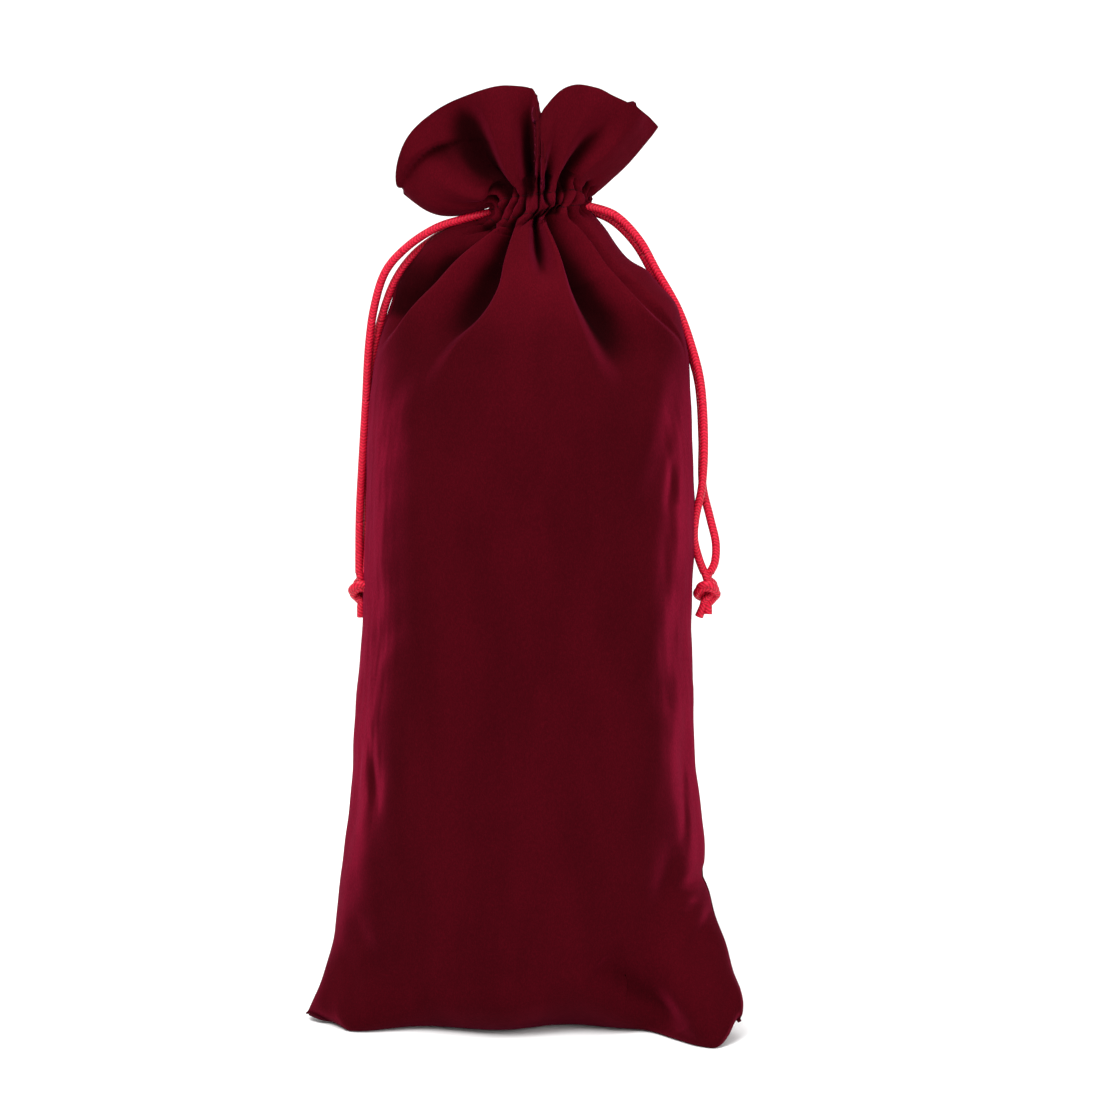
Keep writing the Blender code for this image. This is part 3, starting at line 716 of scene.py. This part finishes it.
def velvet(name, deep, bright, sheen_tint, shade=1.0):
    """Short dense pile: dark face on, magenta at grazing angles painted into the base colour as sheen, with
    broad mottling of the nap and fine mottling; painted light on the shoulders and painted shade in the
    folds.
    """
    nodes = Nodes(name)
    place = nodes.add("TexCoord", {}).outputs["Object"]
    height = nodes.add("SeparateXYZ", {0: place}).outputs["Z"]
    facing = nodes.add("LayerWeight", {"Blend": 0.5}).outputs["Facing"]
    # painted sheen: the bright edge, mixed into the base colour by facing angle, is narrow near the ground
    # and fades on the shoulders, at the foot and on level cloth
    edge = nodes.ramp(facing, 0.14, 0.56, 0.0, 1.0)
    painted_sheen = nodes.math("POWER", edge, nodes.ramp(height, 0.110, 0.190, 2.1, 1.15))
    ruffled = nodes.noise(place, 120.0, 5.0, (1, 1, 0.3))
    upward = nodes.add("SeparateXYZ", {0: nodes.add("NewGeometry", {}).outputs["Normal"]}).outputs["Z"]
    for factor in (
        nodes.ramp(height, 0.200, 0.250, 1.0, 0.16),
        nodes.ramp(height, 0.012, 0.070, 0.35, 1.0),
        nodes.ramp(ruffled, 0.3, 0.7, 0.86, 1.12),
        nodes.ramp(nodes.math("MULTIPLY", upward, upward), 0.04, 0.40, 1.0, 0.15),
    ):
        painted_sheen = nodes.math("MULTIPLY", painted_sheen, factor)
    brushed_nap_and_painted_shadow = nodes.noise(place, 55.0, 4.0, (1, 1, 0.35))
    pile = nodes.noise(place, 2600.0, 2.0, (1, 1, 0.45))
    painted_shade = nodes.add("Attribute", {}, attribute_name="painted_shade").outputs["Fac"]
    tone = nodes.mix(painted_sheen, (*deep, 1), (*bright, 1))
    for factor in (
        # painted light: brighter from the shoulders up to the casing, where the light from above falls; a
        # little darker again above the casing
        nodes.ramp(height, 0.234, 0.262, 0.96, 1.44),
        nodes.ramp(height, 0.282, 0.296, 1.0, 0.91),
        nodes.ramp(brushed_nap_and_painted_shadow, 0.3, 0.7, 0.88 * shade, 1.10 * shade),
        nodes.ramp(pile, 0.35, 0.75, 0.86, 1.16),
        # painted shade deep in the folds and on the outer left shoulder
        nodes.ramp(painted_shade, 0.0, 1.0, 1.0, 0.21),
    ):
        tone = nodes.scale(tone, factor)
    nodes.shade(Base_Color=tone, Roughness=0.95, Specular_IOR_Level=0.02)
    # painted shade: the sheen fades out deep in the folds
    nodes.shade(Sheen_Weight=nodes.ramp(painted_shade, 0.0, 0.5, 0.10, 0.0))
    nodes.shade(Sheen_Roughness=0.35, Sheen_Tint=(*sheen_tint, 1))
    nodes.bump(pile, 0.35, 0.22 * MM)
    return nodes.made


def satin(name, deep, bright):
    """Satin rattail cord: tight diagonal threads, soft gloss along the length, partly real gloss and partly
    painted streaks of highlight.
    """
    nodes = Nodes(name)
    strand = nodes.add("Attribute", {}, attribute_name="strand").outputs["Vector"]
    inputs = {"Scale": 0.24, "Distortion": 2.4, "Detail": 1.0, "Vector": strand}
    threads = nodes.add("TexWave", inputs, wave_type="BANDS", bands_direction="DIAGONAL").outputs["Fac"]
    tone = nodes.mix(threads, (*deep, 1), (*bright, 1))
    # painted highlight: soft patches pulled towards the deep colour leave lighter streaks along the cord
    painted_streaks = nodes.ramp(nodes.noise(strand, 0.35, 3.0), 0.35, 0.7, 0.0, 0.45)
    nodes.shade(Base_Color=nodes.mix(painted_streaks, tone, (*deep, 1)), Roughness=0.38)
    nodes.shade(Specular_IOR_Level=0.4, Specular_Tint=(1.0, 0.30, 0.38, 1))
    nodes.bump(threads, 0.6, 0.18 * MM)
    return nodes.made


def thread(name, colour):
    nodes = Nodes(name)
    fibre = nodes.noise(nodes.add("TexCoord", {}).outputs["Object"], 3500.0)
    dark, light = (tuple(share * c for c in colour) + (1,) for share in (0.7, 1.5))
    nodes.shade(Base_Color=nodes.mix(fibre, dark, light), Roughness=0.8, Specular_IOR_Level=0.05)
    nodes.bump(fibre, 0.4, 0.1 * MM)
    return nodes.made


VELVET = velvet("velvet", (0.0380, 0.0008, 0.0028), (0.152, 0.0036, 0.0165), (1.0, 0.06, 0.24))
LINING = velvet("velvet_inside", (0.034, 0.0011, 0.0029), (0.110, 0.0034, 0.0130), (1.0, 0.08, 0.25), 0.85)
SATIN = satin("satin_cord", (0.27, 0.0026, 0.011), (0.64, 0.010, 0.038))
THREAD = thread("thread", (0.016, 0.0010, 0.0022))


# -------- the sack


VELVET_PLY = 0.9  # thicknesses in millimetres
LINING_PLY = 0.8
LINING_DEPTH = 1.05  # from the outside of the velvet to the facing


def columns_of(side):
    """Column numbers from the left to the right seam on the front, or right to left on the back."""
    quarter = COLUMNS // 4
    if side == "front":
        return np.arange(quarter, 3 * quarter + 1)
    return np.arange(3 * quarter, 5 * quarter + 1) % COLUMNS


def build_fabric():
    grid, kinds, painted_shade = whole_sheet()
    normal = unit_normals(grid)
    fold_row = kinds.index("shoulder") - 1
    neck_row = kinds.index("casing")
    # the facing stands off inside the casing, which leaves a channel for the cords
    lining_grid = (grid - normal * LINING_DEPTH)[neck_row:-1]
    ruffle_row = kinds.index("ruffle") - neck_row
    level = np.arange(len(lining_grid))[:, None]
    inside = 1 - smooth(ruffle_row, ruffle_row + RUFFLE_ROWS * 0.28, level)
    channel_wall = -np.sign(COS) * (CHANNEL_GAP + FACING_BOW * smooth(0.25, 1.0, np.abs(COS)))
    lining_grid[..., 1] = lining_grid[..., 1] * (1 - inside) + channel_wall * inside
    lining_normal = unit_normals(lining_grid)
    below, above = slice(None, fold_row + 1), slice(fold_row, None)
    for side in ("front", "back"):
        cols = columns_of(side)
        outer, ways, shade = grid[:, cols], normal[:, cols], painted_shade[:, cols]
        low = sheet_shell(f"{side}_body", outer[below], ways[below], VELVET_PLY, VELVET, shade[below])
        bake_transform(low)
        label(low, "velvet", f"{side}_panel")
        high = sheet_shell(f"{side}_gather", outer[above], ways[above], VELVET_PLY, VELVET, shade[above])
        follow_collar(high)
        label(high, "velvet", f"{side}_collar")
        inner, inner_ways = lining_grid[:, cols], lining_normal[:, cols]
        lining = sheet_shell(f"{side}_hem_facing", inner, inner_ways, LINING_PLY, LINING)
        follow_collar(lining)
        label(lining, "velvet_inside", f"{side}_facing")
    return grid, normal, kinds


# -------- strands


def spline(points, step):
    """Evenly spaced points along a Catmull-Rom curve through the given ones."""
    points = np.array(points, float)
    padded = np.vstack([2 * points[0] - points[1], points, 2 * points[-1] - points[-2]])
    t = np.linspace(0, 1, 40, endpoint=False)[:, None]
    dense = []
    for p0, p1, p2, p3 in zip(padded, padded[1:], padded[2:], padded[3:]):
        bend = (2 * p0 - 5 * p1 + 4 * p2 - p3) * t * t + (3 * p1 - 3 * p2 + p3 - p0) * t**3
        dense.append(0.5 * (2 * p1 + (p2 - p0) * t + bend))
    dense = np.vstack(dense + [padded[-2:-1]])
    lengths = np.concatenate([[0], np.cumsum(np.linalg.norm(np.diff(dense, axis=0), axis=1))])
    count = max(int(lengths[-1] / step), 2)
    marks = np.linspace(0, lengths[-1], count + 1)
    return np.stack([np.interp(marks, lengths, dense[:, k]) for k in range(3)], -1)


def rings(path, radius, sides):
    """Rings of points round a path that don't twist."""
    way = np.gradient(path, axis=0)
    way /= np.linalg.norm(way, axis=1, keepdims=True)
    across = np.cross(way[0], (0.0, 0.0, 1.0))
    if np.linalg.norm(across) < 1e-3:
        across = np.cross(way[0], (0.0, 1.0, 0.0))
    across /= np.linalg.norm(across)
    turn = np.arange(sides) * 2 * pi / sides
    out = []
    for ahead in way:
        across = across - ahead * (across @ ahead)
        across /= np.linalg.norm(across)
        out.append(np.outer(np.cos(turn), across) + np.outer(np.sin(turn), np.cross(ahead, across)))
    radius = np.broadcast_to(np.asarray(radius, float), (len(path),))
    return path[:, None, :] + np.array(out) * radius[:, None, None]


THREAD_WRAP = 6.0  # strand coordinate round the cord
THREAD_LENGTH = 0.42 * MM  # strand coordinate along the cord: length of one unit


def tube_data(path, radius, sides, start=0.0):
    """Points, faces and strand coordinates of one closed tube."""
    count = len(path)
    points = np.vstack([rings(path, radius, sides).reshape(-1, 3), path[0], path[-1]])
    lengths = start + np.concatenate([[0], np.cumsum(np.linalg.norm(np.diff(path, axis=0), axis=1))])
    index = np.arange(count * sides).reshape(count, sides)
    after = np.roll(index, -1, axis=1)
    quads = np.stack([index[:-1], after[:-1], after[1:], index[1:]], -1).reshape(-1, 4)
    first, last = (np.full(sides, count * sides + k) for k in (0, 1))
    tris = np.vstack([np.stack([after[0], index[0], first], -1), np.stack([index[-1], after[-1], last], -1)])
    strand = np.zeros((len(points), 3))
    wrap = np.abs(np.arange(sides) / sides * 2 - 1) * THREAD_WRAP
    strand[: count * sides, 0] = np.tile(wrap, count)
    strand[: count * sides, 1] = np.repeat(lengths / THREAD_LENGTH, sides)
    return points, quads, tris, strand


def strand_piece(name, paths, radius, sides, finish, starts=None):
    """One piece from several tubes."""
    points, quads, tris, strands = [], [], [], []
    offset = 0
    for i, path in enumerate(paths):
        p, q, t, s = tube_data(path, radius, sides, starts[i] if starts else 0.0)
        points.append(p)
        quads += (q + offset).tolist()
        tris += (t + offset).tolist()
        strands.append(s)
        offset += len(p)
    mesh = bpy.data.meshes.new(name)
    mesh.from_pydata(np.vstack(points).tolist(), [], quads + tris)
    attribute = mesh.attributes.new("strand", "FLOAT_VECTOR", "POINT")
    attribute.data.foreach_set("vector", np.vstack(strands).astype(np.float32).ravel())
    return add_object(name, mesh, finish)


def node_centre(name):
    low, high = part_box(name)
    return (low + high) / 2


# Two strands of each cord from the casing to the knot: X, Y and Z in millimetres
CORD_PATHS = {
    "left": (
        (
            (-11.4, -1.4, 280.3), (-12.5, -1.8, 280), (-20, -3, 278.2), (-30, -2.6, 275),
            (-39.9, -2.2, 268.6), (-47.4, -1.8, 260.2), (-51.4, -1.6, 248), (-53.4, -1.5, 234),
            (-54.5, -1.5, 216), (-55.9, -1.6, 195), (-56.9, -1.8, 178), (-57.2, -2.4, 164),
            (-57.2, -3.2, 156.5),
        ),
        (
            (-11.4, 2.6, 278.4), (-12.5, 2.1, 278.2), (-20, 0.2, 276.4), (-28.6, 0.2, 272.6),
            (-37.6, 0.8, 266), (-44.4, 1.2, 256.8), (-49, 1.4, 244.5), (-52, 1.5, 231),
            (-53.5, 1.5, 214), (-54.4, 1.4, 195), (-54.4, 0.6, 178), (-54.8, -1, 164),
            (-55.6, -2.4, 156.5),
        ),
    ),
    "right": (
        (
            (20.8, -2.8, 282.6), (21.6, -2.8, 282.4), (30.8, -2.2, 279.2), (39, -1.8, 270.8),
            (45, -1.8, 260.2), (52, -1.8, 248), (56.6, -1.8, 236), (60.2, -1.8, 222),
            (61.5, -1.9, 203), (60.9, -2.2, 187), (58.8, -2.2, 176), (58.3, -2.2, 168.5),
            (59.9, -2.2, 161.6), (61.9, -2, 156.4),
        ),
        (
            (20.8, 2.4, 281.1), (21.6, 2.2, 280.9), (30, 1.4, 277.2), (37.8, 1.6, 269.4),
            (44.2, 1.6, 258.6), (51.2, 1.6, 246.8), (55.8, 1.6, 235), (59.7, 1.6, 221),
            (61, 1.4, 203), (61.2, 1, 187), (63.8, 0.4, 175.5), (65.8, -0.6, 167),
            (65.6, -1.4, 160.4), (63.9, -1.8, 156.4),
        ),
    ),
}
CORD_STEP = 0.7 * MM
CORD_SIDES = 20
# Overhand knot of the paired strands: X, Y, Z in millimetres about its centre
KNOT_DROP = 6.2  # from the ends of the strands down to the centre
KNOT_SPREAD = 0.95  # half the distance between the two strands in the knot
KNOT_RADIUS = CORD_RADIUS * 0.95  # the cord is pulled thinner in the knot
KNOT_SIDES = 16
CUT_SHARE = 0.88  # where the cut ends start, as a share of the strand
KNOT_PATH = (
    (-0.3, -0.4, 3.6), (-2.1, 1.2, 1.2), (-1.6, 2.6, -1.6), (1.4, 2.3, -2), (3.1, 0.2, -0.4),
    (2.2, -2.2, 1.5), (-0.8, -2.9, 1.9), (-3.1, -1.1, -0.2), (-1.8, 0.6, -2.2), (0.3, 0.3, -4.4),
)


def build_cord(side):
    """One cord outside the casing: five pieces, of which the first four are baked in place and the last is
    attached to its body.
    """
    names = [f"{side}_cord_{k}" for k in ("exit", "shoulder", "hang", "upper", "lower")]
    outer = 0 if side == "left" else 1
    exit_box, shoulder_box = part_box(f"{names[0]}_front"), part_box(f"{names[1]}_front")
    pivots = [
        Vector((exit_box[outer].x, 0, exit_box[0].z + CORD_RADIUS)),
        Vector((shoulder_box[outer].x, 0, shoulder_box[0].z)),
        Vector(JOINTS[f"{side}_tail_swing"]["pos_m"]),
        Vector(JOINTS[f"{side}_tail_sway"]["pos_m"]),
    ]
    cuts = [(a + b) / 2 for a, b in zip(pivots, pivots[1:] + [node_centre(f"{side}_cord_knot")])]
    segments = [[] for _ in names]
    starts = [[] for _ in names]
    for shape in CORD_PATHS[side]:
        path = spline(np.array(shape) * MM, CORD_STEP)
        away = [np.linalg.norm(path[:, [0, 2]] - (cut.x, cut.z), axis=1) for cut in cuts]
        marks = [0] + [int(np.argmin(a)) for a in away] + [len(path) - 1]
        for k in range(len(names)):
            segments[k].append(path[marks[k] : marks[k + 1] + 1])
            starts[k].append(marks[k] * CORD_STEP)
    for k, name in enumerate(names):
        made = f"{side}_cord_length_{k + 1}"
        piece = strand_piece(made, segments[k], CORD_RADIUS, CORD_SIDES, SATIN, starts[k])
        if k < len(pivots):
            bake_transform(piece)
        else:
            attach(piece, name)
        label(piece, "satin_cord", f"{name}_front", f"{name}_back")
    build_knot(side, names[-1])


def build_knot(side, body):
    """Overhand knot of the paired strands and the two cut ends below it."""
    mirror = -1 if side == "right" else 1
    ends = [np.array(shape[-1]) for shape in CORD_PATHS[side]]
    centre = (ends[0] + ends[1]) / 2 - (0, 0, KNOT_DROP)
    paths, cut_paths = [], []
    for k, (end, spread) in enumerate(zip(ends, (-KNOT_SPREAD, KNOT_SPREAD))):
        apart = 1 if k == 0 else -1
        path = [end + (0, 0, 0.6)]
        for i, point in enumerate(KNOT_PATH):
            turn = 2 * pi * i / (len(KNOT_PATH) + 2)
            shift = spread * np.array((sin(turn) * 0.5, cos(turn) * 0.5, 0.75))
            path.append(centre + np.array(point) * (mirror, 1, 1) + shift)
        path.append(centre + (0.5 * mirror + 0.9 * apart, 0, -5.6))
        path.append(centre + (1.2 * mirror + 1.5 * apart, 0.4 * spread, -8.2 - 0.9 * k))
        dense = spline(np.array(path) * MM, 0.35 * MM)
        cut = int(len(dense) * CUT_SHARE)
        paths.append(dense[: cut + 1])
        cut_paths.append(dense[cut:])
    piece = strand_piece(f"{side}_knot", paths, KNOT_RADIUS, KNOT_SIDES, SATIN)
    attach(piece, body)
    label(piece, "satin_cord", f"{side}_cord_knot")
    for word, path in zip(("inner", "outer"), cut_paths):
        radius = CORD_RADIUS * (0.95 + 0.12 * np.linspace(0, 1, len(path)) ** 2)
        end = strand_piece(f"{side}_cut_end_{word}", [path], radius, KNOT_SIDES, SATIN)
        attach(end, body)
        label(end, "satin_cord", f"{side}_cord_end_{word}")


def build_runs():
    """Cord inside the channel, hidden by the gathers: an arc of each cord in each half."""
    turns = np.radians(np.linspace(-80, 80, 40))
    x = NECK_X + CHANNEL_REACH * MM * np.sin(turns)
    y = (CHANNEL_GAP + CHANNEL_PLY + CHANNEL_BOW * np.cos(turns) ** 1.5) * MM
    for side, sign in (("front", -1), ("back", 1)):
        for cord in ("left", "right"):
            z = node_centre(f"{cord}_cord_{side}_run").z
            path = np.stack([x, sign * y, np.full_like(x, z)], -1)
            piece = strand_piece(f"{cord}_cord_in_{side}_channel", [path], CORD_RADIUS * 0.8, 14, SATIN)
            follow_collar(piece)
            label(piece, "satin_cord", f"{cord}_cord_{side}_run")


STITCH_STEP = 0.12 * MM
STITCH_PITCH, STITCH_GAP = 20, 6  # in steps
STITCH_RADIUS = 0.2 * MM


def build_stitches(grid, normal, kinds):
    """Rows of small stitches that bound the casing, following its gathers."""
    heights = {"lower": CASING_BOTTOM + STITCH_INSET, "upper": CASING_TOP - STITCH_INSET}
    rows_z = grid[:, COLUMNS // 2, 2] - tilt_lift(grid)[:, COLUMNS // 2]
    candidates = [r for r, kind in enumerate(kinds) if kind in ("casing", "shoulder")]
    for side in ("front", "back"):
        cols = columns_of(side)[6:-6]
        for word, height in heights.items():
            row = min(candidates, key=lambda r: abs(rows_z[r] - height))
            line = (grid[row, cols] - normal[row, cols] * 0.05) * MM
            dense = spline(line[::2], STITCH_STEP)
            length = STITCH_PITCH - STITCH_GAP
            paths = [dense[at : at + length] for at in range(0, len(dense) - length, STITCH_PITCH)]
            piece = strand_piece(f"{side}_casing_stitches_{word}", paths, STITCH_RADIUS, 8, THREAD)
            follow_collar(piece)
            label(piece, "thread", f"{side}_casing_stitch_{word}")


ALLOWANCE_INSET = 1.2  # sizes of the seam allowances in millimetres
ALLOWANCE_WIDTH = 6.0
ALLOWANCE_PLY = 0.7
BOTTOM_PLY = 0.8


def build_seams(grid, normal, kinds):
    """The turned-in seam allowances, inside the sack, and the bottom seam's ridge."""
    fold_row = kinds.index("shoulder") - 1
    rows = np.arange(BASE_ROWS + 8, fold_row - 28)
    quarter = COLUMNS // 4
    for side, column in (("left", quarter), ("right", 3 * quarter)):
        edge = grid[rows, column] - normal[rows, column] * ALLOWANCE_INSET
        inward = -np.sign(edge[:, :1]) * (ALLOWANCE_WIDTH / 2, 0, 0)
        pleat = 0.3 * np.sin(np.arange(len(rows)) * 0.9)[:, None] * (0, 1, 0)
        ribbon = np.stack([edge, edge + inward + pleat, edge + 2 * inward + 2 * pleat], 1)
        flat = np.broadcast_to((0.0, -1.0, 0.0), ribbon.shape)
        if side == "right":
            ribbon = ribbon[:, ::-1]
        piece = sheet_shell(f"{side}_seam_allowance", ribbon, flat, ALLOWANCE_PLY, LINING)
        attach(piece, "root")
        label(piece, "velvet_inside", f"{side}_side_seam")
    line = grid[0, columns_of("front")][8:-8]
    low = np.stack([line + (0, y, 0.35) for y in (-2.4, -1.2, 0, 1.2, 2.4)], 1)
    down = np.broadcast_to((0.0, 0.0, -1.0), low.shape)
    piece = sheet_shell("bottom_seam_allowance", low, down, BOTTOM_PLY, LINING)
    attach(piece, "root")
    label(piece, "velvet_inside", "bottom_seam")


# -------- stage


def build_stage():
    """A pale floor that curves up behind."""
    far, start, bend, steps = 2.2, 0.65, 0.55, 14
    turns = [pi / 2 * i / steps for i in range(1, steps + 1)]
    profile = [(-far, 0.0), (start, 0.0)]
    profile += [(start + bend * sin(turn), bend * (1 - cos(turn))) for turn in turns]
    profile.append((start + bend, far))
    points = [(x, y, z - 0.2 * MM) for y, z in profile for x in (-far, far)]
    faces = [(2 * i, 2 * i + 1, 2 * i + 3, 2 * i + 2) for i in range(len(profile) - 1)]
    mesh = bpy.data.meshes.new("floor")
    mesh.from_pydata(points, [], faces)
    nodes = Nodes("pale_floor")
    nodes.shade(Base_Color=(0.93, 0.93, 0.93, 1), Roughness=0.9)
    add_object("floor", mesh, nodes.made)


def aimed(name, data, place, target):
    """A light or camera that looks from its place at the target."""
    made = bpy.data.objects.new(name, data)
    made.location = place
    made.rotation_mode = "QUATERNION"
    made.rotation_quaternion = (Vector(target) - made.location).to_track_quat("-Z", "Y")
    bpy.context.scene.collection.objects.link(made)
    return made


def area_light(name, place, target, size, power):
    data = bpy.data.lights.new(name, "AREA")
    data.shape = "RECTANGLE"
    data.size, data.size_y = size
    data.energy = power
    aimed(name, data, place, target)


def build_light():
    world = bpy.data.worlds.new("studio")
    bpy.context.scene.world = world
    world.use_nodes = True
    background = world.node_tree.nodes["Background"]
    background.inputs["Color"].default_value = (1, 1, 1, 1)
    background.inputs["Strength"].default_value = 0.5
    area_light("key", (-0.40, -0.85, 1.15), (0, 0, 0.18), (0.6, 0.6), 17)
    area_light("fill", (0.75, -0.85, 0.5), (0, 0, 0.16), (0.6, 0.8), 6)
    area_light("top", (0, -0.25, 1.35), (0, 0, 0.1), (0.9, 0.9), 14)


ELEVATION = radians(8)
LENS = 100.0
SENSOR = 36.0
VIEW_WIDTH = 0.3802  # what the frame takes in at the sack, in metres
AIM = Vector((0.0086, 0.0, 0.1641))


def build_camera():
    data = bpy.data.cameras.new("camera")
    data.lens = LENS
    data.sensor_width = SENSOR
    distance = VIEW_WIDTH * LENS / SENSOR
    place = AIM + Vector((0, -cos(ELEVATION), sin(ELEVATION))) * distance
    bpy.context.scene.camera = aimed("camera", data, place, AIM)


GRID, NORMAL, KINDS = build_fabric()
build_stitches(GRID, NORMAL, KINDS)
build_seams(GRID, NORMAL, KINDS)
build_runs()
for cord_side in ("left", "right"):
    build_cord(cord_side)
build_stage()
build_light()
build_camera()
bpy.context.scene.view_settings.view_transform = "Standard"
